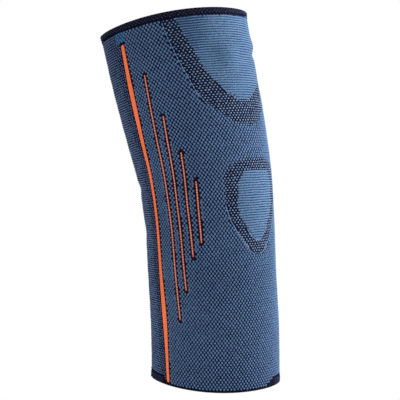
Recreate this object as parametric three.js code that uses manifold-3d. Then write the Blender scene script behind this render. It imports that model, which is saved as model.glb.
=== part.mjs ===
// A knitted elbow support: one seamless sleeve in the form it has on a slightly bent arm,
// with a bound hem at each end and raised stripes knitted along both sides of the elbow.
// Millimetres, +Z up the arm, origin at the centre of the elbow.
// Angles run round the sleeve in degrees: 0 faces -Y and 90 faces +X.
import * as THREE from 'three';
import { mergeVertices } from 'three/addons/utils/BufferGeometryUtils.js';
import Module from 'manifold-3d';

// Driving dimensions
const WALL = 1.8;
const GAP = 0.3;
const UPPER_HEM_HEIGHT = 4.2;
const UPPER_HEM_NARROWING = 1.2;
const LOWER_HEM_HEIGHT = 5.5;
const HEM_EXTRA = 0.2;
const ROLLED_HEM_HEIGHT = 1.2;
const ELBOW_BACK = 49.5;
const STRIPE_BOW = 1.5;
const STRIPE_PROUD = 0.5;
const STRIPE_CROWN = 0.2;
const STRIPE_SINK = 0.3;
const STRIPE_END_MARGIN = 0.6;
const STRIPE_TIP_SHARE = 0.45;

// How finely the curved walls are faceted
const STEPS_AROUND = 38;
const STEPS_ALONG = 30;
const STRIPE_STEP = 9;

// Sections through the sleeve, from the lower rim to the upper rim. side and depth place the
// centre. riseSide is the section's slope towards +X, and riseFront how far it bends up towards
// -Y, so that a rim seen from the front is an arch with a corner at each end.
const SECTIONS = [
  { height: -121.4, side: 5.9, depth: 12, halfWidth: 43.2, halfDepth: 40, riseSide: -0.037, riseFront: -0.1 },
  { height: -85, side: 5.3, depth: 6.8, halfWidth: 43.1, halfDepth: 40.2, riseSide: -0.01, riseFront: -0.08 },
  { height: -46, side: 3.2, depth: 2.3, halfWidth: 42.9, halfDepth: 40.6, riseSide: 0.025, riseFront: -0.05 },
  { height: -14, side: 1.6, depth: 0.2, halfWidth: 43.2, halfDepth: 41.2, riseSide: 0.06, riseFront: -0.01 },
  { height: 14, side: -1.4, depth: 0.4, halfWidth: 44.4, halfDepth: 42.4, riseSide: 0.1, riseFront: 0.025 },
  { height: 46, side: -7.7, depth: 2.4, halfWidth: 46.3, halfDepth: 43.8, riseSide: 0.14, riseFront: 0.054 },
  { height: 82, side: -15.4, depth: 5.8, halfWidth: 47.9, halfDepth: 45, riseSide: 0.165, riseFront: 0.073 },
  { height: 118.3, side: -22.7, depth: 9.5, halfWidth: 49, halfDepth: 45.6, riseSide: 0.17, riseFront: 0.08 },
];
const LOWER_RIM = SECTIONS[0].height;
const UPPER_RIM = SECTIONS[SECTIONS.length - 1].height;

// Folds pressed into the wall, and one ridge, whose depth is negative. A fold runs round the
// sleeve for halfSpan degrees to each side of its middle, and its ends lie endLift above its middle.
const FOLDS = [
  { around: 86, height: 95, halfSpan: 34, halfWidth: 5, depth: -0.9, endLift: -3 },
  { around: 86, height: 90, halfSpan: 34, halfWidth: 3, depth: 1, endLift: -3 },
  { around: 30, height: 89.4, halfSpan: 20, halfWidth: 7, depth: 1.2, endLift: -4 },
  { around: ELBOW_BACK - 180, height: 5, halfSpan: 84, halfWidth: 5, depth: 1.8, endLift: 24 },
  { around: ELBOW_BACK - 180, height: -14, halfSpan: 66, halfWidth: 5, depth: 1.5, endLift: -12 },
];

// Stripes on each side, as angles from the back of the elbow. A stripe bows out to the angle far
// at the height where it is widest apart, and comes in to the angle near at both ends. The main
// stripe swells twice: by extra at a swell's height, fading over halfLength above and below it.
const MAIN_SWELLS = [
  { height: 67, halfLength: 31, extra: 0.9 },
  { height: -72, halfLength: 25, extra: 0.94 },
];
const STRIPES = [
  { name: 'main_stripe', width: 2.48, upper: 105.6, lower: LOWER_RIM, widest: -18, far: 101.6, near: 96 },
  { name: 'side_stripe_1', width: 1.2, upper: 82.8, lower: -75.9, widest: 3.5, far: 85.2, near: 81 },
  { name: 'side_stripe_2', width: 1.2, upper: 55, lower: -56.5, widest: -0.8, far: 76.6, near: 73.3 },
  { name: 'side_stripe_3', width: 1.2, upper: 30.9, lower: -35, widest: -2, far: 67.4, near: 65.4 },
  { name: 'side_stripe_4', width: 1.2, upper: 12.1, lower: -26.5, widest: -7.2, far: 58.2, near: 57.6 },
];
const SIDES = [
  { name: 'left', turn: -1 },
  { name: 'right', turn: 1 },
];

// Where the lower hem is rolled under, between two ramps
const ROLLED_FROM = { start: -54, end: -50.5 };
const ROLLED_TO = { start: 66, end: 50 };

// Colours
const KNIT_BLUE = 0x354660;
const HEM_NAVY = 0x22242f;
const STRIPE_ORANGE = 0xea6e46;

const { degToRad, radToDeg, euclideanModulo, smoothstep, lerp } = THREE.MathUtils;

// Smooth interpolation of one column of the section table at a height
function slopeBetween(column, low, high) {
  return (high[column] - low[column]) / (high.height - low.height);
}

function rowSlope(column, row) {
  const here = SECTIONS[row];
  if (row === 0) {
    return slopeBetween(column, here, SECTIONS[1]);
  }
  const before = SECTIONS[row - 1];
  if (row === SECTIONS.length - 1) {
    return slopeBetween(column, before, here);
  }
  const after = SECTIONS[row + 1];
  const share = (here.height - before.height) / (after.height - before.height);
  return lerp(slopeBetween(column, before, here), slopeBetween(column, here, after), share);
}

function columnAt(column, height) {
  let row = 0;
  while (row < SECTIONS.length - 2 && height > SECTIONS[row + 1].height) {
    row += 1;
  }
  const low = SECTIONS[row];
  const high = SECTIONS[row + 1];
  const step = high.height - low.height;
  const t = (height - low.height) / step;
  const rise = t * t * (3 - 2 * t);
  const lowBend = t * (1 - t) * (1 - t) * step * rowSlope(column, row);
  const highBend = t * t * (t - 1) * step * rowSlope(column, row + 1);
  return lerp(low[column], high[column], rise) + lowBend + highBend;
}

// How deep the folds press the wall in at one place
function turnBetween(from, to) {
  return euclideanModulo(to - from + 180, 360) - 180;
}

function foldDepth(around, height) {
  let depth = 0;
  for (const fold of FOLDS) {
    const along = turnBetween(fold.around, around) / fold.halfSpan;
    if (Math.abs(along) < 1) {
      const fade = (1 - along * along) ** 2;
      const across = (height - fold.height - fold.endLift * along * along) / fold.halfWidth;
      depth += fold.depth * fade * Math.exp(-across * across);
    }
  }
  return depth;
}

// A point at an angle and height, standing off the outer face by offset
function surfacePoint(around, height, offset) {
  const angle = degToRad(around);
  const halfWidth = columnAt('halfWidth', height);
  const halfDepth = columnAt('halfDepth', height);
  const outward = new THREE.Vector2(halfDepth * Math.sin(angle), -halfWidth * Math.cos(angle)).normalize();
  const standOff = offset - foldDepth(around, height);
  const x = halfWidth * Math.sin(angle) + outward.x * standOff;
  const y = -halfDepth * Math.cos(angle) + outward.y * standOff;
  const sideRise = columnAt('riseSide', height) * x;
  const frontRise = columnAt('riseFront', height) * -y * Math.abs(Math.cos(angle));
  const z = height + sideRise + frontRise;
  return new THREE.Vector3(columnAt('side', height) + x, columnAt('depth', height) + y, z);
}

// The height of the upper hem at an angle: it is a little less at the two sides
function upperHemHeight(around) {
  return UPPER_HEM_HEIGHT - UPPER_HEM_NARROWING * Math.sin(degToRad(around)) ** 4;
}

function sleeveUpperEdge(around) {
  return UPPER_RIM - upperHemHeight(around) - GAP;
}

// How much of the lower hem shows at an angle: all of it, or the rolled edge only
function lowerHemHeight(around) {
  const turn = turnBetween(0, around);
  const rolledLeft = smoothstep(turn, ROLLED_FROM.start, ROLLED_FROM.end);
  const rolledRight = 1 - smoothstep(turn, ROLLED_TO.end, ROLLED_TO.start);
  return lerp(LOWER_HEM_HEIGHT, ROLLED_HEM_HEIGHT, rolledLeft * rolledRight);
}

function sleeveLowerEdge(around) {
  return LOWER_RIM + lowerHemHeight(around) + GAP;
}

// Geometry from a list of points and a list of triangles
function geometryFrom(points, triangles) {
  const geometry = new THREE.BufferGeometry();
  const positions = points.flatMap((point) => point.toArray());
  geometry.setAttribute('position', new THREE.Float32BufferAttribute(positions, 3));
  geometry.setIndex(triangles);
  geometry.computeVertexNormals();
  return geometry;
}

// A solid that closes on itself both round the sleeve and round its own profile.
// placeAt gives the point of one profile corner at one angle.
function ringSolid(corners, placeAt) {
  const points = [];
  const triangles = [];
  for (let step = 0; step < STEPS_AROUND; step += 1) {
    const around = (360 * step) / STEPS_AROUND;
    const nextStep = (step + 1) % STEPS_AROUND;
    for (let corner = 0; corner < corners; corner += 1) {
      const nextCorner = (corner + 1) % corners;
      points.push(placeAt(around, corner));
      const a = step * corners + corner;
      const b = nextStep * corners + corner;
      const c = nextStep * corners + nextCorner;
      const d = step * corners + nextCorner;
      triangles.push(a, b, c, a, c, d);
    }
  }
  return geometryFrom(points, triangles);
}

// The sleeve's wall: up the outer face and back down the inner face
function sleeveWall() {
  const rows = STEPS_ALONG + 1;
  return ringSolid(2 * rows, (around, corner) => {
    const outside = corner < rows;
    const row = outside ? corner : 2 * rows - 1 - corner;
    const height = lerp(sleeveLowerEdge(around), sleeveUpperEdge(around), row / STEPS_ALONG);
    return surfacePoint(around, height, outside ? 0 : -WALL);
  });
}

// A hem: a ring with rounded corners, as shares of its height and of its thickness
const HEM_PROFILE = [
  { up: 0.15, out: 1 },
  { up: 0.85, out: 1 },
  { up: 1, out: 0.8 },
  { up: 1, out: 0.2 },
  { up: 0.85, out: 0 },
  { up: 0.15, out: 0 },
  { up: 0, out: 0.2 },
  { up: 0, out: 0.8 },
];

function hemRing(lowerEdge, upperEdge) {
  return ringSolid(HEM_PROFILE.length, (around, corner) => {
    const { up, out } = HEM_PROFILE[corner];
    const height = lerp(lowerEdge(around), upperEdge(around), up);
    return surfacePoint(around, height, lerp(-WALL - HEM_EXTRA, HEM_EXTRA, out));
  });
}

// Half of a stripe's width at a height
function stripeHalfWidth(stripe, height) {
  let halfWidth = stripe.width / 2;
  for (const swell of stripe.name === 'main_stripe' ? MAIN_SWELLS : []) {
    const share = (height - swell.height) / swell.halfLength;
    halfWidth += swell.extra * Math.exp(-share * share);
  }
  return halfWidth;
}

// The line that a stripe follows, from its lower end to its upper end
function stripeLine(stripe, side) {
  const angleAt = (height) => {
    const end = height > stripe.widest ? stripe.upper : stripe.lower;
    const share = (height - stripe.widest) / (end - stripe.widest);
    return ELBOW_BACK + side.turn * lerp(stripe.far, stripe.near, share ** STRIPE_BOW);
  };
  const edge = sleeveLowerEdge(angleAt(stripe.lower)) + STRIPE_END_MARGIN;
  const lower = Math.max(stripe.lower, edge);
  const steps = Math.ceil((stripe.upper - lower) / STRIPE_STEP);
  return Array.from({ length: steps + 1 }, (_, step) => {
    const height = lerp(lower, stripe.upper, step / steps);
    const isEnd = step === 0 || step === steps;
    const halfWidth = stripeHalfWidth(stripe, height) * (isEnd ? STRIPE_TIP_SHARE : 1);
    return { height, around: angleAt(height), halfWidth };
  });
}

// A solid along a line on the sleeve, with the same corners at every step. across is a share
// of the line's half width, out is the stand-off from the outer face, and spare widens and
// lengthens the whole ribbon.
function ribbonSolid(line, corners, spare) {
  const points = [];
  const triangles = [];
  const last = line.length - 1;
  line.forEach(({ height, around, halfWidth }, step) => {
    const beyond = step === 0 ? -spare : step === last ? spare : 0;
    const radius = columnAt('halfWidth', height);
    for (const { across, out } of corners) {
      const shift = across * halfWidth + Math.sign(across) * spare;
      points.push(surfacePoint(around + radToDeg(shift / radius), height + beyond, out));
    }
    for (let corner = 0; step < last && corner < corners.length; corner += 1) {
      const nextCorner = (corner + 1) % corners.length;
      const a = step * corners.length + corner;
      const b = step * corners.length + nextCorner;
      const c = b + corners.length;
      const d = a + corners.length;
      triangles.push(a, c, b, a, d, c);
    }
  });
  const lastStart = last * corners.length;
  for (let corner = 1; corner < corners.length - 1; corner += 1) {
    triangles.push(0, corner, corner + 1);
    triangles.push(lastStart, lastStart + corner + 1, lastStart + corner);
  }
  return geometryFrom(points, triangles);
}

function stripeSolid(line) {
  const shoulder = STRIPE_PROUD - STRIPE_CROWN;
  const corners = [
    { across: -1, out: -STRIPE_SINK },
    { across: 1, out: -STRIPE_SINK },
    { across: 1, out: shoulder },
    { across: 0, out: STRIPE_PROUD },
    { across: -1, out: shoulder },
  ];
  return ribbonSolid(line, corners, 0);
}

// The channel that a stripe lies in, wider, longer and deeper than the stripe by the gap
function channelSolid(line) {
  const floor = -STRIPE_SINK - GAP;
  const corners = [
    { across: -1, out: floor },
    { across: 1, out: floor },
    { across: 1, out: WALL },
    { across: -1, out: WALL },
  ];
  return ribbonSolid(line, corners, GAP);
}

// Cuts between solids
const wasm = await Module();
wasm.setup();

function toSolid(geometry) {
  const bare = geometry.clone();
  bare.deleteAttribute('normal');
  const merged = mergeVertices(bare);
  const vertProperties = new Float32Array(merged.attributes.position.array);
  const triVerts = new Uint32Array(merged.index.array);
  return new wasm.Manifold(new wasm.Mesh({ numProp: 3, vertProperties, triVerts }));
}

function toGeometry(solid) {
  const mesh = solid.getMesh();
  const geometry = new THREE.BufferGeometry();
  geometry.setAttribute('position', new THREE.BufferAttribute(mesh.vertProperties, mesh.numProp));
  geometry.setIndex(new THREE.BufferAttribute(mesh.triVerts, 1));
  geometry.computeVertexNormals();
  return geometry;
}

// Materials
function knitMaterial(color) {
  return new THREE.MeshStandardMaterial({ color, roughness: 0.9, metalness: 0 });
}

// The assembly
const elbowSupport = new THREE.Group();

function addPiece(name, geometry, color) {
  const piece = new THREE.Mesh(geometry, knitMaterial(color));
  piece.name = name;
  elbowSupport.add(piece);
}

let sleeve = toSolid(sleeveWall());
for (const side of SIDES) {
  for (const stripe of STRIPES) {
    const line = stripeLine(stripe, side);
    sleeve = sleeve.subtract(toSolid(channelSolid(line)));
    addPiece(`${stripe.name}_${side.name}`, stripeSolid(line), STRIPE_ORANGE);
  }
}
addPiece('sleeve', toGeometry(sleeve), KNIT_BLUE);
addPiece('upper_hem', hemRing((around) => UPPER_RIM - upperHemHeight(around), () => UPPER_RIM), HEM_NAVY);
addPiece('lower_hem', hemRing(() => LOWER_RIM, (around) => LOWER_RIM + lowerHemHeight(around)), HEM_NAVY);

export default elbowSupport;
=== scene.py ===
"""A knitted elbow support: its two-tone knit stitch by stitch, its bound hems and its raised stripes.

Sizes in the tables are millimetres, and angles run round the sleeve in degrees: 0 faces -Y and
90 faces +X, as in the CAD model. Meshes are made in metres.
"""
import math

import bpy
import numpy as np
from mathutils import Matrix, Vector


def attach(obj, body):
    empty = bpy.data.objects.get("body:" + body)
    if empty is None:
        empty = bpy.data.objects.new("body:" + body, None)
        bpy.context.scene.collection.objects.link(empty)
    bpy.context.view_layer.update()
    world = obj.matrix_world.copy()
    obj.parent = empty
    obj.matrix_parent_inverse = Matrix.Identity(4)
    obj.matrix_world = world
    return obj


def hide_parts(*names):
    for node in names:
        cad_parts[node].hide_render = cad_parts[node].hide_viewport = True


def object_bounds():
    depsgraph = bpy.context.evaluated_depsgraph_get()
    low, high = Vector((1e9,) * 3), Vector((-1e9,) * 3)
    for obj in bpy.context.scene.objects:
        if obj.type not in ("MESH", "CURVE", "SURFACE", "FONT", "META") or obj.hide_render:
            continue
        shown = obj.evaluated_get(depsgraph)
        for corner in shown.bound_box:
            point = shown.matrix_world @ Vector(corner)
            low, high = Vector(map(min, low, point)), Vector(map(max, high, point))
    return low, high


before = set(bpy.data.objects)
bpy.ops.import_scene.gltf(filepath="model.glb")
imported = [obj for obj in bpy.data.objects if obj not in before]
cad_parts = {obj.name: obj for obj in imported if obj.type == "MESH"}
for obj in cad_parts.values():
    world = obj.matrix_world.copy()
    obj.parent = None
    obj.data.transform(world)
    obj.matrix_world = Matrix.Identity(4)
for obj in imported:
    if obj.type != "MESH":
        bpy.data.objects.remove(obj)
CAD_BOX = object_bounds()
MM = 0.001
RANDOM = np.random.default_rng(7)

# The sleeve's form, as in the CAD model
WALL = 1.8
GAP = 0.3
UPPER_HEM_HEIGHT = 4.2
UPPER_HEM_NARROWING = 1.2
LOWER_HEM_HEIGHT = 5.5
HEM_EXTRA = 0.2
HEM_OVERLAP = 0.2
ROLLED_HEM_HEIGHT = 1.2
ROLLED_FROM = {"start": -54.0, "end": -50.5}
ROLLED_TO = {"start": 66.0, "end": 50.0}
ELBOW_BACK = 49.5

SECTION_COLUMNS = ("height", "side", "depth", "half_width", "half_depth", "rise_side", "rise_front")
SECTIONS = np.array([
    (-121.4, 5.9, 12.0, 43.2, 40.0, -0.037, -0.100),
    (-85.0, 5.3, 6.8, 43.1, 40.2, -0.010, -0.080),
    (-46.0, 3.2, 2.3, 42.9, 40.6, 0.025, -0.050),
    (-14.0, 1.6, 0.2, 43.2, 41.2, 0.060, -0.010),
    (14.0, -1.4, 0.4, 44.4, 42.4, 0.100, 0.025),
    (46.0, -7.7, 2.4, 46.3, 43.8, 0.140, 0.054),
    (82.0, -15.4, 5.8, 47.9, 45.0, 0.165, 0.073),
    (118.3, -22.7, 9.5, 49.0, 45.6, 0.170, 0.080),
])
HEIGHTS = SECTIONS[:, SECTION_COLUMNS.index("height")]
LOWER_RIM = HEIGHTS[0]
UPPER_RIM = HEIGHTS[-1]
SLEEVE_HIGHEST_EDGE = UPPER_RIM - UPPER_HEM_HEIGHT + UPPER_HEM_NARROWING - GAP
SLEEVE_LOWEST_EDGE = LOWER_RIM + ROLLED_HEM_HEIGHT + GAP

# Folds, as in the CAD model: each runs round the sleeve at a height, rises by end_lift towards
# its two ends, and dips in by depth; a ridge's depth is negative
FOLD_COLUMNS = ("around", "height", "half_span", "half_width", "depth", "end_lift")
FOLD_ROWS = (
    (86, 95, 34, 5, -0.9, -3),
    (86, 90, 34, 3, 1, -3),
    (30, 89.4, 20, 7, 1.2, -4),
    (ELBOW_BACK - 180, 5, 84, 5, 1.8, 24),
    (ELBOW_BACK - 180, -14, 66, 5, 1.5, -12),
)

# Softer dents and ridges that are too fine for the CAD model's facets
WRINKLE_ROWS = (
    (22, 90, 15, 7, 1.1, -4),
    (40, 87, 14, 7, -1.8, 0),
    (62, 85.4, 24, 3.2, 1.2, 3),
)
FOLDS = [dict(zip(FOLD_COLUMNS, row)) for row in FOLD_ROWS + WRINKLE_ROWS]

# A stripe bows out to the angle far from the back of the elbow at the height where the two sides'
# stripes are widest apart, and comes in to the angle near at both ends
MAIN_STRIPE = "main_stripe"
STRIPE_PROUD = 0.5
STRIPE_SINK = 0.3
STRIPE_END_MARGIN = 0.6
STRIPE_BOW = 1.5
STRIPE_COLUMNS = ("name", "width", "upper", "lower", "widest", "far", "near")
STRIPE_ROWS = (
    (MAIN_STRIPE, 2.48, 105.6, LOWER_RIM, -18.0, 101.6, 96.0),
    ("side_stripe_1", 1.2, 82.8, -75.9, 3.5, 85.2, 81.0),
    ("side_stripe_2", 1.2, 55.0, -56.5, -0.8, 76.6, 73.3),
    ("side_stripe_3", 1.2, 30.9, -35.0, -2.0, 67.4, 65.4),
    ("side_stripe_4", 1.2, 12.1, -26.5, -7.2, 58.2, 57.6),
)
STRIPES = [dict(zip(STRIPE_COLUMNS, row)) for row in STRIPE_ROWS]
MAIN_SWELLS = (
    {"height": 67, "half_length": 31, "extra": 0.9},
    {"height": -72, "half_length": 25, "extra": 0.94},
)
SIDES = {"left": -1, "right": 1}

# One chain of a stripe and of the dark stitches beside it
CHAIN_PITCH = 1.6

# The knit: stitches round the sleeve, and how tall a course is at each height
WALES = 236
COURSES = np.array([
    (-121.0, 1.60),
    (-60.0, 1.51),
    (50.0, 1.50),
    (90.0, 1.57),
    (118.0, 1.58),
])

# The knitted zones at each height, as the angle of their middle and half angles from it. Inside
# band_edge lies the dark dotted band, and inside panel_edge the light ribbed panel.
ZONE_COLUMNS = ("height", "middle", "band_edge", "panel_edge")
UPPER_ZONE = np.array([
    (42.9, 48.5, 0.0, 0.0),
    (45.2, 47.8, 14.3, 0.0),
    (49.6, 46.8, 21.3, 0.0),
    (53.8, 46.8, 28.3, 0.0),
    (58.7, 46.8, 34.7, 0.0),
    (58.8, 46.8, 34.8, 5.0),
    (65.3, 47.3, 40.6, 17.0),
    (71.5, 50.5, 46.5, 28.0),
    (80.3, 52.5, 52.0, 37.2),
    (89.3, 52.5, 55.3, 40.7),
    (104.3, 52.5, 60.0, 47.7),
    (118.3, 52.5, 62.5, 54.0),
])
ELBOW_ZONE = np.array([
    (-36.4, 44.5, 0.0, 0.0),
    (-33.0, 45.0, 7.8, 0.0),
    (-26.1, 46.0, 16.2, 0.0),
    (-26.0, 46.0, 16.3, 3.0),
    (-21.3, 45.8, 21.0, 9.5),
    (-13.6, 46.8, 28.0, 18.2),
    (-5.0, 48.6, 33.1, 22.6),
    (8.1, 50.6, 35.4, 22.4),
    (14.2, 51.6, 35.2, 17.9),
    (16.3, 49.6, 31.4, 11.9),
    (16.4, 49.6, 31.3, 0.0),
    (18.5, 49.2, 27.8, 0.0),
    (21.2, 49.2, 18.0, 0.0),
    (22.8, 49.2, 11.5, 0.0),
])

# Every zone: beyond a main stripe come a dark seam and then the ribbed crook, and a head is the
# small patch above the stripe. A wide zone's stitches are three pieces, split below and above the
# elbow at ELBOW_REACH from it.
ZONES = ("mesh", "seam", "crook", "band", "panel", "head")
WIDE_ZONES = ("mesh", "crook")
ELBOW_REACH = 40.0
SEAM_ANGLE = 11.0
HEAD_ANGLE = 97.4
HEAD_HALF_ANGLE = 5.0
HEAD_ABOVE = 1.2

# The pale beaded ribs that run beside a band's edge or a panel's tip, between two heights
RIM_BESIDE = 0.5
RIM_RISE = 0.24
RIM_STEP = 0.3
RIM_CLEAR = 0.62
RIM_PITCH = 2.3
RIM_COLUMNS = ("name", "table", "edge", "low", "high", "half_width", "bead")
RIM_ROWS = (
    ("upper_band_rim", UPPER_ZONE, "band_edge", 58.0, 111.5, 0.42, 0.9),
    ("upper_panel_rim", UPPER_ZONE, "panel_edge", 58.7, 68.0, 0.46, 0.9),
    ("elbow_band_rim", ELBOW_ZONE, "band_edge", -35.0, -4.0, 0.36, 0.35),
    ("elbow_panel_rim", ELBOW_ZONE, "panel_edge", -26.1, -19.0, 0.4, 0.5),
)
RIMS = [dict(zip(RIM_COLUMNS, row)) for row in RIM_ROWS]

# One raised stitch of each zone: half its width in wales, half its height in courses, how far it
# stands out, whether every wale has one or every second wale, half a step apart, how far its
# course wanders up and down, and how uneven its size and place are
STITCH_COLUMNS = ("half_wale", "half_course", "rise", "every", "wander", "uneven")
STITCH_ROWS = {
    "mesh": (0.77, 0.73, 0.58, 2, 0.1, 0.08),
    "seam": (0.56, 0.50, 0.40, 2, 0.1, 0.2),
    "crook": (0.92, 0.47, 0.40, 2, 0.2, 0.18),
    "band": (0.58, 0.41, 0.36, 2, 0.1, 0.2),
    "panel": (1.10, 0.50, 0.38, 1, 0.14, 0.08),
    "head": (0.77, 0.73, 0.58, 2, 0.1, 0.08),
}
STITCHES = {zone: dict(zip(STITCH_COLUMNS, row)) for zone, row in STITCH_ROWS.items()}
GROUND_SET_IN = 0.3
STITCH_SINK = 0.12
STITCH_UNEVEN = 0.06
EDGE_ROOM = 0.4
CLEAR_OF_STRIPE = 1.38
STITCH_COVERED = 0.7
WANDER_WAVES = (
    {"round": 17, "up": 0.35, "start": 0.0},
    {"round": 11, "up": -0.52, "start": 1.3},
)

# How the stitches' size changes over the sleeve: the shares that come or go, and the two heights,
# or angles from the elbow's back or a panel's middle, between which each change grows
# On the forearm the mesh stitches are fuller, and thinner towards the elbow's back: painted light and
# painted shade, made by how much dark ground shows between them.
MESH_LIGHT_AND_SHADE_ON_FOREARM = {"fuller": 0.04, "less_behind": 0.1, "heights": (-20, -50), "angles": (10, 90)}
MESH_AT_HEM = {"less": 0.07, "heights": (-88, -118)}
CROOK_ABOVE_ELBOW = {"less": 0.15, "heights": (-25, 25)}
CROOK_HIGH_UP = {"less": 0.1, "heights": (60, 95)}
# Panel stitches thin towards the band high up: the knit's lines are thinner there, and the darker patch that
# shows more dark ground is partly painted shade.
PANEL_THINNING_AND_SHADE_AT_BAND = {"less": 0.4, "heights": (80, 94), "angles": (22, 42)}

# The hems' stitches
HEM_LOOP_PROUD = 0.3
HEM_LOOP_RISE = GROUND_SET_IN + HEM_EXTRA + HEM_LOOP_PROUD
NEARLY_WHOLE = 0.1

# The yarns' noises, with their scale in waves a metre
STRAND_NOISE = {"scale": 1100, "detail": 3}
PATCH_NOISE = {"scale": 45, "detail": 2}
ROUGHNESS_NOISE = {"scale": 600, "detail": 2}
FIBRE_NOISE = {"scale": 3500, "detail": 4}
STRAND_RAMP = (0.25, 0.75)
PATCH_SHADES = (0.86, 1.12)
YARN_ROUGHNESS = 0.85
ROUGHNESS_SPREAD = 0.1
SHEEN_ROUGHNESS = 0.5
FIBRE_STRENGTH = 0.35
FIBRE_HEIGHT = 0.15
DULL = {"sheen": 0, "gloss": 0.02}

# How far the stitches' texture places keep from the sides
UV_MARGIN = 0.005

# Camera and picture
PICTURE_WIDTH = 268.0
CAMERA_BACK = 900.0
CAMERA_SIDE = -4.7
SENSOR = 36.0

# The studio, in metres: lights aim at the middle of the elbow, with their power in watts
LIGHT_COLUMNS = ("name", "place", "power", "size")
LIGHT_ROWS = (
    ("key_right", (0.53, 0.06, 0.2), 7.6, 0.4),
    ("fill_front", (-0.25, -0.93, 0.45), 5.2, 0.8),
    ("rim_left", (-0.6, 0.55, -0.2), 3.4, 0.5),
)
LIGHTS = [dict(zip(LIGHT_COLUMNS, row)) for row in LIGHT_ROWS]
FLOOR_DROP = 0.06
FLOOR_HALF = 0.32
FLOOR_COLOUR = (0.75, 0.75, 0.75, 1)
SURROUND_GLOW = 0.5
SURROUND_SEEN = 1.0


def column_at(name, height):
    """One column of the section table at each height, on a smooth curve through the rows."""
    values = SECTIONS[:, SECTION_COLUMNS.index(name)]
    steps = np.diff(HEIGHTS)
    slopes = np.diff(values) / steps
    inner = slopes[:-1] + (slopes[1:] - slopes[:-1]) * steps[:-1] / (steps[:-1] + steps[1:])
    bends = np.concatenate([slopes[:1], inner, slopes[-1:]])
    row = np.clip(np.searchsorted(HEIGHTS, height) - 1, 0, len(HEIGHTS) - 2)
    t = (height - HEIGHTS[row]) / steps[row]
    rise = t * t * (3 - 2 * t)
    low_bend = t * (1 - t) ** 2 * steps[row] * bends[row]
    high_bend = t * t * (t - 1) * steps[row] * bends[row + 1]
    return values[row] + (values[row + 1] - values[row]) * rise + low_bend + high_bend


def turn_between(start, end):
    """The turn from one angle to another, from -180 to 180."""
    return (end - start + 180.0) % 360.0 - 180.0


def smoothstep(value, start, end):
    """From 0 at the start to 1 at the end, without corners; the end may be the lower one."""
    t = np.clip((value - start) / (end - start), 0, 1)
    return t * t * (3 - 2 * t)


def wale_angle(wales):
    """The angle that a number of wales takes round the sleeve."""
    return 360.0 * wales / WALES


def fold_depth(around, height):
    """How far the folds dip in at each place."""
    depth = np.zeros(np.broadcast(around, height).shape)
    for fold in FOLDS:
        along = np.clip(turn_between(fold["around"], around) / fold["half_span"], -1, 1)
        across = (height - fold["height"] - fold["end_lift"] * along**2) / fold["half_width"]
        depth += fold["depth"] * (1 - along**2) ** 2 * np.exp(-across**2)
    return depth


def surface(around, height, offset):
    """Points, in metres, at angles and heights on the sleeve, standing off its outer face by offset."""
    around, height, offset = np.broadcast_arrays(around, height, offset)
    angle = np.radians(around)
    half_width = column_at("half_width", height)
    half_depth = column_at("half_depth", height)
    out_x = half_depth * np.sin(angle)
    out_y = -half_width * np.cos(angle)
    stand_off = (offset - fold_depth(around, height)) / np.hypot(out_x, out_y)
    x = half_width * np.sin(angle) + out_x * stand_off
    y = -half_depth * np.cos(angle) + out_y * stand_off
    side_rise = column_at("rise_side", height) * x
    front_rise = column_at("rise_front", height) * -y * np.abs(np.cos(angle))
    place_x = column_at("side", height) + x
    place_y = column_at("depth", height) + y
    return np.stack((place_x, place_y, height + side_rise + front_rise), axis=-1) * MM


def sleeve_upper_edge(around):
    """The height of the sleeve's upper edge, under the hem."""
    hem_height = UPPER_HEM_HEIGHT - UPPER_HEM_NARROWING * np.sin(np.radians(around)) ** 4
    return UPPER_RIM - hem_height - GAP


def lower_hem_height(around):
    """How tall the lower hem is: across the front it is rolled under."""
    turn = turn_between(0.0, around)
    rolled_left = smoothstep(turn, ROLLED_FROM["start"], ROLLED_FROM["end"])
    rolled_right = 1 - smoothstep(turn, ROLLED_TO["end"], ROLLED_TO["start"])
    return LOWER_HEM_HEIGHT + (ROLLED_HEM_HEIGHT - LOWER_HEM_HEIGHT) * rolled_left * rolled_right


def lower_hem_is_whole(around):
    """True where the lower hem isn't rolled under."""
    return lower_hem_height(around) > LOWER_HEM_HEIGHT - NEARLY_WHOLE


def sleeve_lower_edge(around):
    """The height of the sleeve's lower edge, above the hem."""
    return LOWER_RIM + lower_hem_height(around) + GAP


def course_edges():
    """Heights of the lines between courses, from the sleeve's lowest edge to its highest."""
    edges = [SLEEVE_LOWEST_EDGE]
    while edges[-1] < SLEEVE_HIGHEST_EDGE:
        edges.append(edges[-1] + np.interp(edges[-1], COURSES[:, 0], COURSES[:, 1]))
    edges = np.array(edges)
    stretch = (SLEEVE_HIGHEST_EDGE - edges[0]) / (edges[-1] - edges[0])
    return edges[0] + (edges - edges[0]) * stretch


def zone_columns(table, height):
    """The middle, band edge and panel edge of a zone table at each height."""
    rows = table[:, ZONE_COLUMNS.index("height")]
    middle = np.interp(height, rows, table[:, ZONE_COLUMNS.index("middle")])
    band = np.interp(height, rows, table[:, ZONE_COLUMNS.index("band_edge")], 0, 0)
    panel = np.interp(height, rows, table[:, ZONE_COLUMNS.index("panel_edge")], 0, 0)
    return middle, band, panel


def zone_at(around, height):
    """The knitted zone at each place, as its number in ZONES."""
    from_back = np.abs(turn_between(ELBOW_BACK, around))
    main = STRIPES[0]
    beyond_stripe = from_back - (stripe_angle(main, 1, height) - ELBOW_BACK)
    head = (np.abs(from_back - HEAD_ANGLE) < HEAD_HALF_ANGLE) & (height > main["upper"] + HEAD_ABOVE)
    zone = np.where(beyond_stripe > 0, ZONES.index("seam"), ZONES.index("mesh"))
    zone = np.where(beyond_stripe > SEAM_ANGLE, ZONES.index("crook"), zone)
    zone = np.where(head, ZONES.index("head"), zone)
    for table in (UPPER_ZONE, ELBOW_ZONE):
        middle, band, panel = zone_columns(table, height)
        from_zone = np.abs(turn_between(middle, around))
        zone = np.where(from_zone < band, ZONES.index("band"), zone)
        zone = np.where(from_zone < panel, ZONES.index("panel"), zone)
    return zone


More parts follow.
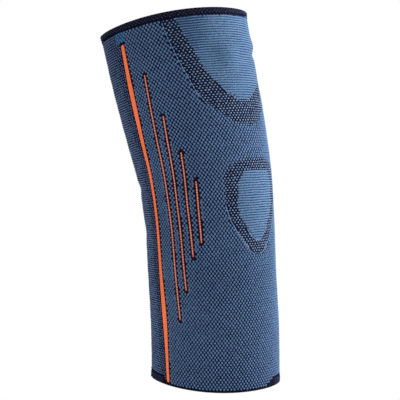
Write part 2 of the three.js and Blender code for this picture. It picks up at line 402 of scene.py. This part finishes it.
def mesh_fullness(around, height):
    """How full a mesh stitch is: on the forearm less towards the back, and less above the lower hem. The
    change on the forearm is painted light and painted shade: fuller stitches hide the dark ground and look
    lighter, thinner ones look darker.
    """
    from_back = np.abs(turn_between(ELBOW_BACK, around))
    behind = 1 - smoothstep(from_back, *MESH_LIGHT_AND_SHADE_ON_FOREARM["angles"])
    on_forearm = smoothstep(height, *MESH_LIGHT_AND_SHADE_ON_FOREARM["heights"])
    at_hem = smoothstep(height, *MESH_AT_HEM["heights"])
    change = MESH_LIGHT_AND_SHADE_ON_FOREARM["fuller"] - MESH_LIGHT_AND_SHADE_ON_FOREARM["less_behind"] * behind
    return 1 + on_forearm * change - MESH_AT_HEM["less"] * at_hem


def crook_fullness(height):
    """How tall a crook stitch is: less above the elbow, where the knit is stretched more."""
    above = CROOK_ABOVE_ELBOW["less"] * smoothstep(height, *CROOK_ABOVE_ELBOW["heights"])
    high_up = CROOK_HIGH_UP["less"] * smoothstep(height, *CROOK_HIGH_UP["heights"])
    return 1 - above - high_up


def panel_fullness(around, height):
    """How tall a panel stitch is: less towards the dark band at the upper hem, where the knit's lines are
    thinner; the darker patch this makes is partly painted shade.
    """
    from_middle = np.abs(turn_between(zone_columns(UPPER_ZONE, height)[0], around))
    near_band = smoothstep(from_middle, *PANEL_THINNING_AND_SHADE_AT_BAND["angles"])
    high_up = smoothstep(height, *PANEL_THINNING_AND_SHADE_AT_BAND["heights"])
    return 1 - PANEL_THINNING_AND_SHADE_AT_BAND["less"] * near_band * high_up


def stitch_fullness(zone, around, height):
    """The shares of their whole width and height that a zone's stitches have at each place."""
    if zone == "mesh":
        fullness = mesh_fullness(around, height)
        return fullness, fullness
    if zone == "crook":
        return 1.0, crook_fullness(height)
    if zone == "panel":
        return 1.0, panel_fullness(around, height)
    return 1.0, 1.0


def stripe_angle(stripe, turn, height):
    """The angle of a stripe's middle line at each height, on the side that turn gives."""
    end = np.where(height > stripe["widest"], stripe["upper"], stripe["lower"])
    share = (height - stripe["widest"]) / (end - stripe["widest"])
    return ELBOW_BACK + turn * (stripe["far"] + (stripe["near"] - stripe["far"]) * share**STRIPE_BOW)


def stripe_half_width(stripe, height):
    """Half a stripe's width at each height: the main stripe swells twice along its length."""
    half_width = stripe["width"] / 2
    if stripe["name"] != MAIN_STRIPE:
        return half_width
    bumps = 0
    for swell in MAIN_SWELLS:
        bumps += swell["extra"] * np.exp(-((height - swell["height"]) / swell["half_length"]) ** 2)
    return half_width + bumps


def stripe_lower_end(stripe, turn):
    """The height where a stripe ends: its own, or just above the hem."""
    edge = sleeve_lower_edge(stripe_angle(stripe, turn, stripe["lower"]))
    return max(stripe["lower"], float(edge) + STRIPE_END_MARGIN)


def arc(around_from, around_to, height):
    """Millimetres round the sleeve between two angles."""
    return np.radians(turn_between(around_from, around_to)) * column_at("half_width", height)


def make_way_for_stripes(around, height):
    """Angles moved out of the stripes' way, and False where a stripe takes a stitch's place."""
    moved = around.copy()
    clear = np.ones(around.shape, bool)
    for stripe in STRIPES:
        for turn in SIDES.values():
            line = stripe_angle(stripe, turn, height)
            beside = arc(line, around, height)
            taken = stripe_half_width(stripe, height)
            kept_clear = taken + CLEAR_OF_STRIPE
            low = stripe_lower_end(stripe, turn) - CLEAR_OF_STRIPE
            along = (height > low) & (height < stripe["upper"] + CLEAR_OF_STRIPE)
            aside = line + np.degrees(np.sign(beside) * kept_clear / column_at("half_width", height))
            moved = np.where(along & (np.abs(beside) < kept_clear), aside, moved)
            clear &= ~(along & (np.abs(beside) < taken + STITCH_COVERED))
    return moved, clear


def rim_places(row, turn, shifts):
    """Angles and heights along a rim, at some shifts beside its line, and how full its beads are."""
    rows = row["table"][:, ZONE_COLUMNS.index("height")]
    between = rows[(rows > row["low"]) & (rows < row["high"])]
    corner_height = np.concatenate([[row["low"]], between, [row["high"]]])
    middle, band, panel = zone_columns(row["table"], corner_height)
    corner_around = middle + turn * (band if row["edge"] == "band_edge" else panel)
    corner_run = np.diff(np.radians(corner_around)) * column_at("half_width", corner_height[1:])
    along = np.concatenate([[0.0], np.cumsum(np.hypot(corner_run, np.diff(corner_height)))])
    even = np.linspace(0, along[-1], int(along[-1] / RIM_STEP))
    fullness = 1 - row["bead"] * (1 - np.abs(np.sin(math.pi * even / RIM_PITCH)))
    around = np.interp(even, along, corner_around)
    height = np.interp(even, along, corner_height)
    radius = column_at("half_width", height)
    run = np.gradient(np.radians(around)) * radius
    climb = np.gradient(height)
    length = np.hypot(run, climb)
    shift = turn * RIM_BESIDE + fullness[:, None] * shifts[None]
    place_around = around[:, None] + np.degrees(shift * (climb / length / radius)[:, None])
    return place_around, height[:, None] - shift * (run / length)[:, None], fullness


def clear_of_rims(around, height):
    """False where a rim takes a stitch's place."""
    clear = np.ones(around.shape, bool)
    for row in RIMS:
        for turn in SIDES.values():
            near = np.flatnonzero((height > row["low"] - RIM_CLEAR) & (height < row["high"] + RIM_CLEAR))
            rim_around, rim_height, _ = rim_places(row, turn, np.zeros(1))
            beside = arc(rim_around.T, around[near, None], height[near, None])
            apart = np.hypot(beside, height[near, None] - rim_height.T)
            clear[near] &= apart.min(axis=1) > RIM_CLEAR
    return clear


def linear(red, green, blue):
    """A colour given as 0 to 255 display values, as the shader's linear colour."""
    def channel(value):
        share = value / 255
        return share / 12.92 if share <= 0.04045 else ((share + 0.055) / 1.055) ** 2.4
    return (channel(red), channel(green), channel(blue), 1.0)


def yarn_material(name, colour, variation=0.18, sheen=0.08, gloss=0.1):
    """A matt yarn: uneven dye, a fuzz of fibres and a soft sheen."""
    material = bpy.data.materials.new(name)
    material.use_nodes = True
    nodes = material.node_tree.nodes
    links = material.node_tree.links
    shader = nodes["Principled BSDF"]
    shader.inputs["Sheen Weight"].default_value = sheen
    shader.inputs["Sheen Roughness"].default_value = SHEEN_ROUGHNESS
    shader.inputs["Sheen Tint"].default_value = colour
    shader.inputs["Specular IOR Level"].default_value = gloss
    place = nodes.new("ShaderNodeTexCoord")

    def noise(scale, detail):
        node = nodes.new("ShaderNodeTexNoise")
        node.inputs["Scale"].default_value = scale
        node.inputs["Detail"].default_value = detail
        links.new(place.outputs["Object"], node.inputs["Vector"])
        return node.outputs["Fac"]

    def ramp(source, colours, positions=(0.0, 1.0)):
        node = nodes.new("ShaderNodeValToRGB")
        for element, shade, position in zip(node.color_ramp.elements, colours, positions):
            element.position = position
            element.color = shade
        links.new(source, node.inputs["Fac"])
        return node.outputs["Color"]

    def shaded(factor):
        return tuple(channel * factor for channel in colour[:3]) + (1.0,)

    dark_and_light = (shaded(1 - variation), shaded(1 + variation))
    strands = ramp(noise(**STRAND_NOISE), dark_and_light, STRAND_RAMP)
    patches = ramp(noise(**PATCH_NOISE), [(shade, shade, shade, 1) for shade in PATCH_SHADES])
    dyed = nodes.new("ShaderNodeMix")
    dyed.data_type = "RGBA"
    dyed.blend_type = "MULTIPLY"
    dyed.inputs["Factor"].default_value = 1.0
    links.new(strands, dyed.inputs["A"])
    links.new(patches, dyed.inputs["B"])
    links.new(dyed.outputs["Result"], shader.inputs["Base Color"])
    rough = nodes.new("ShaderNodeMapRange")
    rough.inputs["To Min"].default_value = YARN_ROUGHNESS - ROUGHNESS_SPREAD
    rough.inputs["To Max"].default_value = YARN_ROUGHNESS + ROUGHNESS_SPREAD
    links.new(noise(**ROUGHNESS_NOISE), rough.inputs["Value"])
    links.new(rough.outputs["Result"], shader.inputs["Roughness"])
    bump = nodes.new("ShaderNodeBump")
    bump.inputs["Strength"].default_value = FIBRE_STRENGTH
    bump.inputs["Distance"].default_value = FIBRE_HEIGHT * MM
    links.new(noise(**FIBRE_NOISE), bump.inputs["Height"])
    links.new(bump.outputs["Normal"], shader.inputs["Normal"])
    return material


def add_piece(name, points, faces, corner_uv, materials, material_index=None):
    """A smooth-shaded object that rides on the CAD body."""
    mesh = bpy.data.meshes.new(name)
    mesh.from_pydata(points.tolist(), [], faces)
    for material in materials:
        mesh.materials.append(material)
    mesh.polygons.foreach_set("use_smooth", np.ones(len(faces), bool))
    if material_index is not None:
        mesh.polygons.foreach_set("material_index", np.asarray(material_index, np.int32))
    mesh.uv_layers.new(name="OFBake").data.foreach_set("uv", corner_uv.astype(np.float32).ravel())
    mesh.update()
    piece = bpy.data.objects.new(name, mesh)
    bpy.context.scene.collection.objects.link(piece)
    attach(piece, "root")
    return piece


def ring_faces(columns, corners):
    """Quads of a mesh that closes on itself round the sleeve and round its own profile."""
    column, corner = np.meshgrid(np.arange(columns), np.arange(corners), indexing="ij")
    after = (column + 1) % columns
    above = (corner + 1) % corners
    quads = np.stack([column * corners + corner, after * corners + corner,
                      after * corners + above, column * corners + above], axis=-1)
    return quads.reshape(-1, 4).tolist()


def ring_uv(columns, corners, across):
    """Corner places of ring_faces: once round along one side, and across along the other."""
    column, corner = np.meshgrid(np.arange(columns), np.arange(corners), indexing="ij")
    u = np.stack([column, column + 1, column + 1, column], axis=-1) / columns
    v = np.stack([across[corner], across[corner], across[corner + 1], across[corner + 1]], axis=-1)
    return np.stack([u, v], axis=-1).reshape(-1, 2)


# Materials
LIGHT_YARN = {
    "mesh": yarn_material("mesh_light_yarn", linear(81, 106, 140)),
    "seam": yarn_material("seam_light_yarn", linear(80, 97, 130)),
    "crook": yarn_material("crook_light_yarn", linear(84, 105, 140)),
    "band": yarn_material("band_light_yarn", linear(108, 125, 152), variation=0.35),
    "panel": yarn_material("panel_light_yarn", linear(81, 108, 138)),
    "head": yarn_material("head_light_yarn", linear(64, 106, 148)),
}
GROUND_YARN = {
    "mesh": yarn_material("mesh_ground_yarn", linear(10, 23, 48), **DULL),
    "seam": yarn_material("seam_ground_yarn", linear(9, 18, 42), **DULL),
    "crook": yarn_material("crook_ground_yarn", linear(14, 25, 50), **DULL),
    "band": yarn_material("band_ground_yarn", linear(12, 22, 44), **DULL),
    "panel": yarn_material("panel_ground_yarn", linear(36, 58, 90), **DULL),
    "head": yarn_material("head_ground_yarn", linear(20, 44, 74), **DULL),
}
RIM_YARN = yarn_material("rim_yarn", linear(98, 121, 156))
# The inside's wales take a lighter and a darker yarn in turn: partly the knit's two-tone floats, partly
# painted shade on the inside ribs.
INSIDE_YARN = {
    "rib": yarn_material("inside_rib_yarn", linear(66, 82, 110)),
    "furrow": yarn_material("inside_furrow_yarn_and_painted_shade", linear(38, 48, 68), **DULL),
}
HEM_YARN = yarn_material("hem_yarn", linear(15, 15, 27), variation=0.5, **DULL)
HEM_LOOP_YARN = yarn_material("hem_loop_yarn", linear(47, 49, 75), variation=0.35, **DULL)
ORANGE = yarn_material("orange_yarn", linear(241, 118, 74), variation=0.16)
DULL_ORANGE = yarn_material("thin_stripe_yarn", linear(216, 134, 116), variation=0.16)
EDGING = yarn_material("edging_yarn", linear(54, 13, 12), **DULL)


def sleeve_ground():
    """The sleeve's wall: a cell for each stitch outside, plain ribs inside, closed at both edges."""
    inner_rows = 48
    squeeze = 8.0
    inside_rib = 0.2
    outside_uv = (0, 0.49)
    inside_uv = (0.51, 0.99)
    edges = course_edges()
    courses = len(edges) - 1
    around = wale_angle(np.arange(WALES))
    lift = sleeve_lower_edge(around) - SLEEVE_LOWEST_EDGE
    drop = SLEEVE_HIGHEST_EDGE - sleeve_upper_edge(around)
    rows = np.concatenate([edges, np.linspace(SLEEVE_HIGHEST_EDGE, SLEEVE_LOWEST_EDGE, inner_rows + 1)])
    corners = len(rows)
    near_lower = np.clip(1 - (rows - SLEEVE_LOWEST_EDGE) / squeeze, 0, 1)
    near_upper = np.clip(1 - (SLEEVE_HIGHEST_EDGE - rows) / squeeze, 0, 1)
    height = rows[None] + lift[:, None] * near_lower[None] - drop[:, None] * near_upper[None]
    ribs = inside_rib * np.where(np.arange(WALES) % 2 == 0, 1, -1)
    is_inside = np.arange(corners) > courses
    offset = np.where(is_inside[None], ribs[:, None] - WALL, -GROUND_SET_IN)
    points = surface(around[:, None], height, offset).reshape(-1, 3)
    outside = np.linspace(*outside_uv, courses + 1)
    inside = np.linspace(*inside_uv, inner_rows + 1)
    across = np.concatenate([outside, inside, [1.0]])
    middle_around = wale_angle(np.arange(WALES) + 0.5)
    middle_height = (edges[:-1] + edges[1:]) / 2
    # Inside faces alternate the lighter and the darker inside yarn by wale; the darker one is partly painted
    # shade on the ribs.
    ground = np.tile(len(ZONES) + np.arange(WALES)[:, None] % len(INSIDE_YARN), (1, corners))
    ground[:, :courses] = zone_at(middle_around[:, None], middle_height[None])
    materials = [GROUND_YARN[zone] for zone in ZONES] + list(INSIDE_YARN.values())
    piece = add_piece("knit_sleeve", points, ring_faces(WALES, corners), ring_uv(WALES, corners, across),
                      materials, ground.ravel())
    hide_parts("sleeve")
    return piece


def stitch_shape():
    """One stitch in its own square, as points across, up and out, and its faces. It is a puffy V."""
    corners = 8
    ridge_share = 0.62
    middle = (0.0, -0.05, 0.7)
    notch = np.array([0.8, 1.0, 0.95, 1.0, 0.95, 1.0, 0.95, 1.0])
    crest = np.array([0.55, 1.0, 1.0, 0.9, 0.7, 0.9, 1.0, 1.0])
    turns = 2 * math.pi * np.arange(corners) / corners
    outline = np.stack([np.sin(turns) * notch, np.cos(turns) * notch], axis=1)
    base = np.column_stack([outline, np.zeros(corners)])
    ridge = np.column_stack([outline * ridge_share, crest])
    points = np.vstack([base, ridge, [middle]])
    nexts = [(corner + 1) % corners for corner in range(corners)]
    faces = [[after, corner, corner + corners, after + corners] for corner, after in enumerate(nexts)]
    faces += [[after + corners, corner + corners, 2 * corners] for corner, after in enumerate(nexts)]
    faces.append(list(range(corners)))
    return points, faces


def joined_stitches(name, around, height, half_around, half_height, rise, material,
                    uneven_by=STITCH_UNEVEN):
    """Many stitches as one mesh, each following the sleeve's surface."""
    shape, shape_faces = stitch_shape()
    count = len(around)
    uneven = 1 + uneven_by * RANDOM.uniform(-1, 1, (3, count, 1))
    around = around + uneven_by * half_around * RANDOM.uniform(-1, 1, count)
    height = height + uneven_by * half_height * RANDOM.uniform(-1, 1, count)
    across, up, out = shape.T[:, None]
    place_around = around[:, None] + half_around[:, None] * across * uneven[0]
    place_height = height[:, None] + half_height[:, None] * up * uneven[1]
    place_height = np.clip(place_height, LOWER_RIM, UPPER_RIM)
    offset = rise * out * uneven[2] - STITCH_SINK * (out == 0) - GROUND_SET_IN
    points = surface(place_around, place_height, offset).reshape(-1, 3)
    firsts = len(shape) * np.arange(count)
    faces = [[first + corner for corner in face] for first in firsts.tolist() for face in shape_faces]
    order = np.concatenate([np.array(face) for face in shape_faces])
    turned = place_around[:, order] - np.floor(around[:, None] / 360) * 360
    u = UV_MARGIN + (1 - 2 * UV_MARGIN) * turned / 360
    v = (place_height[:, order] - LOWER_RIM) / (UPPER_RIM - LOWER_RIM)
    return add_piece(name, points, faces, np.stack([u, v], axis=-1).reshape(-1, 2), [material])


def wander(around, height):
    """How courses stray from level, from -1 to 1."""
    stray = 0
    for wave in WANDER_WAVES:
        stray = stray + np.sin(np.radians(wave["round"] * around) + wave["up"] * height + wave["start"])
    return stray / len(WANDER_WAVES)


def knit_stitches():
    """The raised light stitches of every zone, in pieces by zone and by part of the arm."""
    edges = course_edges()
    course, wale = np.meshgrid(np.arange(len(edges) - 1), np.arange(WALES), indexing="ij")
    course = course.ravel()
    wale = wale.ravel()
    around = wale_angle(wale + 0.5)
    height = (edges[course] + edges[course + 1]) / 2
    tall = edges[course + 1] - edges[course]
    zone_number = zone_at(around, height)
    room = (height > sleeve_lower_edge(around) + EDGE_ROOM * tall) & clear_of_rims(around, height)
    room &= height < sleeve_upper_edge(around) - EDGE_ROOM * tall
    around, clear = make_way_for_stripes(around, height)
    room &= clear
    alternate = (wale + course) % 2 == 0
    parts = {
        "forearm": height < -ELBOW_REACH,
        "elbow": (height >= -ELBOW_REACH) & (height < ELBOW_REACH),
        "upper_arm": height >= ELBOW_REACH,
    }
    groups = []
    for zone in WIDE_ZONES:
        groups += [(f"{zone}_stitches_{part}", zone, inside) for part, inside in parts.items()]
    groups += [(f"{zone}_stitches", zone, True) for zone in ZONES if zone not in WIDE_ZONES]
    pieces = []
    for name, zone, inside in groups:
        stitch = STITCHES[zone]
        chosen = room & inside & (zone_number == ZONES.index(zone))
        if stitch["every"] == 2:
            chosen &= alternate
        place = (around[chosen], height[chosen])
        width_share, height_share = stitch_fullness(zone, *place)
        half_around = np.full(chosen.sum(), wale_angle(stitch["half_wale"])) * width_share
        half_height = stitch["half_course"] * tall[chosen] * height_share
        strayed = height[chosen] + stitch["wander"] * wander(*place)
        pieces.append(joined_stitches(name, around[chosen], strayed, half_around, half_height,
                                      stitch["rise"], LIGHT_YARN[zone], uneven_by=stitch["uneven"]))
    return pieces


def upper_hem_edges(around):
    """The lower and upper edge of the upper hem."""
    return sleeve_upper_edge(around) - HEM_OVERLAP, np.full(len(around), UPPER_RIM)


def lower_hem_edges(around):
    """The lower and upper edge of the lower hem."""
    return np.full(len(around), LOWER_RIM), sleeve_lower_edge(around) + HEM_OVERLAP


def hem(name, node, edges):
    """A bound edge: a rounded ring with a fine rib on each wale."""
    columns = 2 * WALES
    corners = 20
    rib = 0.14
    roundness = 0.35
    around = wale_angle(np.arange(columns) / 2)
    turn = 2 * math.pi * np.arange(corners) / corners
    up = np.sign(np.sin(turn)) * np.abs(np.sin(turn)) ** roundness
    out = np.sign(np.cos(turn)) * np.abs(np.cos(turn)) ** roundness
    lower, upper = edges(around)
    low = lower[:, None]
    high = upper[:, None]
    height = (low + high) / 2 + (high - low) / 2 * up[None]
    ribs = rib * np.where(np.arange(columns) % 2 == 0, 1, -1)[:, None] * out[None]
    offset = -WALL / 2 + (WALL / 2 + HEM_EXTRA - rib) * out[None] + ribs
    points = surface(around[:, None], height, offset).reshape(-1, 3)
    across = np.linspace(0, 1, corners + 1)
    piece = add_piece(name, points, ring_faces(columns, corners), ring_uv(columns, corners, across),
                      [HEM_YARN])
    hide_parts(node)
    return piece


def rib_piece(name, around, height, offset, material):
    """A closed rib: steps along it by corners round it, with a cap at each end."""
    points = surface(around, height, offset)
    steps = points.shape[0] - 1
    corners = points.shape[1]
    step, corner = np.meshgrid(np.arange(steps), np.arange(corners), indexing="ij")
    after = (corner + 1) % corners
    quads = np.stack([step * corners + corner, step * corners + after,
                      (step + 1) * corners + after, (step + 1) * corners + corner], axis=-1)
    first_cap = list(range(corners))[::-1]
    last_cap = [steps * corners + place for place in range(corners)]
    faces = quads.reshape(-1, 4).tolist() + [first_cap, last_cap]
    u = np.linspace(0, 1, corners + 1)
    quad_u = np.stack([u[corner], u[corner + 1], u[corner + 1], u[corner]], axis=-1).reshape(-1)
    quad_v = np.stack([step, step, step + 1, step + 1], axis=-1).reshape(-1) / steps
    cap_uv = np.zeros((2 * corners, 2))
    uv = np.vstack([np.stack([quad_u, quad_v], axis=-1), cap_uv])
    return add_piece(name, points.reshape(-1, 3), faces, uv, [material])


def rim(row, side, turn):
    """The pale rib beside one side of a band or panel, from its lower end up."""
    across = np.array([-1.0, -0.5, 0.5, 1.0, 1.0, -1.0])
    rise = np.array([0.4, 1.0, 1.0, 0.4, 0.0, 0.0])
    around, height, fullness = rim_places(row, turn, row["half_width"] * across)
    tall = (GROUND_SET_IN + STITCH_SINK + RIM_RISE) * fullness[:, None]
    offset = -GROUND_SET_IN - STITCH_SINK + tall * rise[None]
    return rib_piece(f"{row['name']}_{side}", around, height, offset, RIM_YARN)


def stripe_rib(stripe, side, turn):
    """A raised rib of chain stitches, rounded across and tapered at its ends."""
    steps_per_chain = 8
    points_across = 9
    tip = 2.2
    sharpest = 0.02
    tip_drop = 0.5
    edge_drop = 0.9
    chevron = 0.3
    yarn_share = 1.03
    thin = stripe["name"] != MAIN_STRIPE
    bead = 0.6 if thin else 0.1
    chain = 0.6 if thin else 0.28
    across = np.linspace(-1, 1, points_across)
    low = stripe_lower_end(stripe, turn)
    high = stripe["upper"]
    chains = int((high - low) / CHAIN_PITCH)
    steps = chains * steps_per_chain
    height = np.linspace(low, high, steps + 1)
    phase = np.linspace(0, chains, steps + 1)
    from_end = np.minimum(height - low, high - height)
    taper = np.sqrt(1 - (1 - np.clip(from_end / tip, sharpest, 1)) ** 2)
    dip = 1 - np.abs(np.sin(math.pi * (phase[:, None] + chevron * np.abs(across)[None])))
    beaded = 1 - bead * dip[:, points_across // 2]
    half_width = stripe_half_width(stripe, height) * yarn_share * taper * beaded
    crown = np.sqrt(1 - edge_drop * across**4)[None]
    full_rise = (STRIPE_PROUD + STRIPE_SINK) * crown * (1 - tip_drop + tip_drop * taper[:, None])
    top = -STRIPE_SINK + full_rise - chain * dip * crown
    offset = np.column_stack([top, np.full((steps + 1, 2), -STRIPE_SINK)])
    spread = np.concatenate([across, [1.0, -1.0]])[None] * half_width[:, None]
    angle = stripe_angle(stripe, turn, height)
    around = angle[:, None] + np.degrees(spread / column_at("half_width", height)[:, None])
    node = f"{stripe['name']}_{side}"
    yarn = DULL_ORANGE if thin else ORANGE
    piece = rib_piece(f"{node}_rib", around, height[:, None], offset, yarn)
    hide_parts(node)
    return piece


def stripe_edging():
    """The dark stitches along both sides of every stripe, and at its ends."""
    beside = 0.3
    above_tip = 1.2
    below_tip = 0.9
    hem_room = 0.5 * CHAIN_PITCH
    half_wale = 0.5
    half_pitch = 0.66 * CHAIN_PITCH
    rise = 0.52
    around = []
    heights = []
    for stripe in STRIPES:
        for turn in SIDES.values():
            low = stripe_lower_end(stripe, turn)
            high = stripe["upper"]
            height = np.arange(low, high, CHAIN_PITCH)
            for edge in (-1, 1):
                shift = edge * (stripe_half_width(stripe, height) + beside) / column_at("half_width", height)
                around.append(stripe_angle(stripe, turn, height) + np.degrees(shift))
                heights.append(height)
            tips = np.array([high, high + above_tip, low, low - below_tip])
            tips = tips[tips > sleeve_lower_edge(stripe_angle(stripe, turn, low)) + hem_room]
            around.append(stripe_angle(stripe, turn, tips))
            heights.append(tips)
    around = np.concatenate(around)
    heights = np.concatenate(heights)
    half_around = np.full(len(around), wale_angle(half_wale))
    half_height = np.full(len(around), half_pitch)
    return joined_stitches("stripe_edging", around, heights, half_around, half_height, rise, EDGING)


def hem_stitching():
    """The dark stitches that bind each hem to the knit, one on every second wale."""
    half_wale = 0.32
    half_height = 1.2
    reach = 0.4
    rise = 0.6
    unevenness = 0.3
    around = wale_angle(np.arange(0, WALES, 2) + 0.5)
    whole = lower_hem_is_whole(around)
    places = np.concatenate([around, around[whole]])
    upper = sleeve_upper_edge(around) - reach
    lower = sleeve_lower_edge(around) + reach
    heights = np.concatenate([upper, lower[whole]])
    half_around = np.full(len(places), wale_angle(half_wale))
    half_heights = np.full(len(places), half_height)
    return joined_stitches("hem_stitching", places, heights, half_around, half_heights, rise,
                           HEM_YARN, unevenness)


def hem_loops():
    """The raised stitches on the outside of each hem, in rows that are half a step apart."""
    row_shares = np.array([0.22, 0.5, 0.78])
    half_height_share = 0.17
    half_wale = 0.62
    unevenness = 0.25
    row, wale = np.meshgrid(np.arange(len(row_shares)), np.arange(WALES), indexing="ij")
    chosen = (row + wale) % 2 == 0
    share = row_shares[row[chosen]]
    around = wale_angle(wale[chosen] + 0.5)
    upper_height = UPPER_RIM - sleeve_upper_edge(around) - GAP
    lower_height = lower_hem_height(around)
    whole = lower_hem_is_whole(around)
    places = np.concatenate([around, around[whole]])
    heights = np.concatenate([UPPER_RIM - upper_height * share, LOWER_RIM + (lower_height * share)[whole]])
    half_heights = half_height_share * np.concatenate([upper_height, lower_height[whole]])
    half_around = np.full(len(places), wale_angle(half_wale))
    return joined_stitches("hem_loops", places, heights, half_around, half_heights, HEM_LOOP_RISE,
                           HEM_LOOP_YARN, unevenness)


def area_light(name, place, power, size):
    """A soft square light that shines at the middle of the elbow."""
    data = bpy.data.lights.new(name, "AREA")
    data.energy = power
    data.size = size
    light = bpy.data.objects.new(name, data)
    bpy.context.scene.collection.objects.link(light)
    light.location = place
    light.rotation_euler = (-Vector(place)).to_track_quat("-Z", "Y").to_euler()


def pale_floor():
    """A plain square floor, below the object."""
    low = CAD_BOX[0].z - FLOOR_DROP
    corners = [(-1, -1), (1, -1), (1, 1), (-1, 1)]
    mesh = bpy.data.meshes.new("floor")
    mesh.from_pydata([(x * FLOOR_HALF, y * FLOOR_HALF, low) for x, y in corners], [], [(0, 1, 2, 3)])
    floor = bpy.data.objects.new("floor", mesh)
    bpy.context.scene.collection.objects.link(floor)
    pale = bpy.data.materials.new("pale_floor")
    pale.use_nodes = True
    pale.node_tree.nodes["Principled BSDF"].inputs["Base Color"].default_value = FLOOR_COLOUR
    mesh.materials.append(pale)


def white_surround():
    """A white background that lights the object only half as much as it shows."""
    world = bpy.data.worlds.new("surround")
    bpy.context.scene.world = world
    world.use_nodes = True
    nodes = world.node_tree.nodes
    links = world.node_tree.links
    background = nodes["Background"]
    background.inputs["Color"].default_value = (1, 1, 1, 1)
    path = nodes.new("ShaderNodeLightPath")
    strength = nodes.new("ShaderNodeMapRange")
    strength.inputs["To Min"].default_value = SURROUND_GLOW
    strength.inputs["To Max"].default_value = SURROUND_SEEN
    links.new(path.outputs["Is Camera Ray"], strength.inputs["Value"])
    links.new(strength.outputs["Result"], background.inputs["Strength"])


def studio():
    """A pale floor, a white surround and soft lights from the right, the front and the left behind."""
    bpy.context.scene.view_settings.view_transform = "Standard"
    pale_floor()
    white_surround()
    for light in LIGHTS:
        area_light(**light)


def camera():
    """A camera in front of the elbow, level with it."""
    data = bpy.data.cameras.new("camera")
    data.sensor_width = SENSOR
    data.lens = SENSOR * CAMERA_BACK / PICTURE_WIDTH
    viewer = bpy.data.objects.new("camera", data)
    bpy.context.scene.collection.objects.link(viewer)
    viewer.location = (CAMERA_SIDE * MM, -CAMERA_BACK * MM, 0)
    viewer.rotation_euler = (math.pi / 2, 0, 0)
    bpy.context.scene.camera = viewer


camera()
sleeve = sleeve_ground()
trim = knit_stitches()
trim.append(hem("upper_hem_ring", "upper_hem", upper_hem_edges))
trim.append(hem("lower_hem_ring", "lower_hem", lower_hem_edges))
for side, turn in SIDES.items():
    trim += [stripe_rib(stripe, side, turn) for stripe in STRIPES]
    trim += [rim(row, side, turn) for row in RIMS]
trim += [stripe_edging(), hem_stitching(), hem_loops()]

studio()
